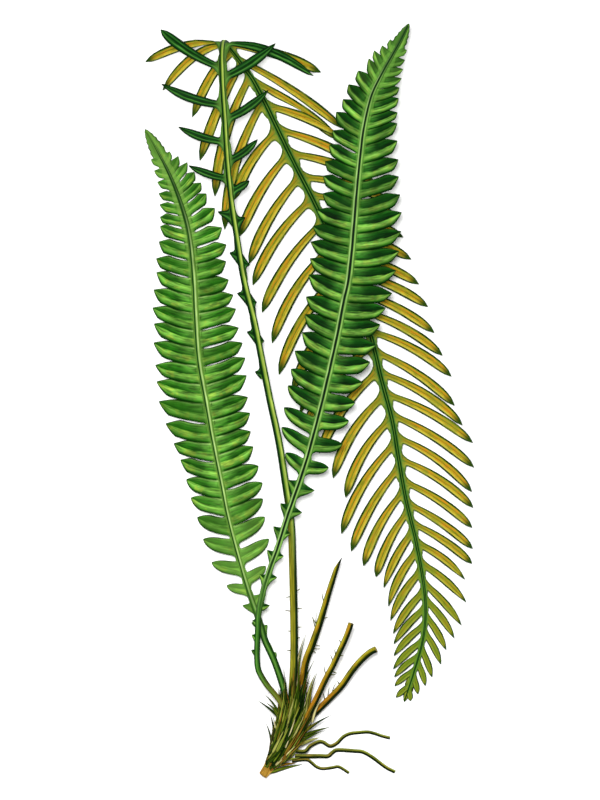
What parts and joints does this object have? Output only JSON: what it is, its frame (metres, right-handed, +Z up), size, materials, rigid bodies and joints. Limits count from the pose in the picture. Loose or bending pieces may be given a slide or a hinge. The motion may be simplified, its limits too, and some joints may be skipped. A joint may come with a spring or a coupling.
{
  "type": "deer fern",
  "caption": "Deer fern lifted with its rootstock and laid down: broad sterile fronds, a taller fertile frond bent over backwards, old stubs and wiry roots.",
  "frame": {"origin": "on the surface, at the middle of the small flat under the rootstock", "axes": "+Y along the plant towards the frond tips, +X across it to the right as seen from above, +Z up from the surface"},
  "size_m": [0.165, 0.3771, 0.0382],
  "materials": {
    "rootstock_scales": "dull brown and olive chaffy scales",
    "sterile_light_green": "satin yellowish green leaf",
    "sterile_dark_green": "satin dark green leaf",
    "fertile_green_and_spores": "green leaf with orange brown bands of spores beneath",
    "old_stipe": "smooth olive brown stalk",
    "root": "dark brown wiry root"
  },
  "bodies": {
    "root": {"rootstock": "rootstock_scales", "sterile_frond_left": "sterile_light_green", "sterile_frond_right": "sterile_dark_green", "fertile_frond": "fertile_green_and_spores", "old_stipe_tall": "old_stipe", "old_stipe_middle": "old_stipe", "old_stipe_low": "old_stipe", "root_upper": "root", "root_middle": "root", "root_lower": "root"}
  },
  "joints": []
}
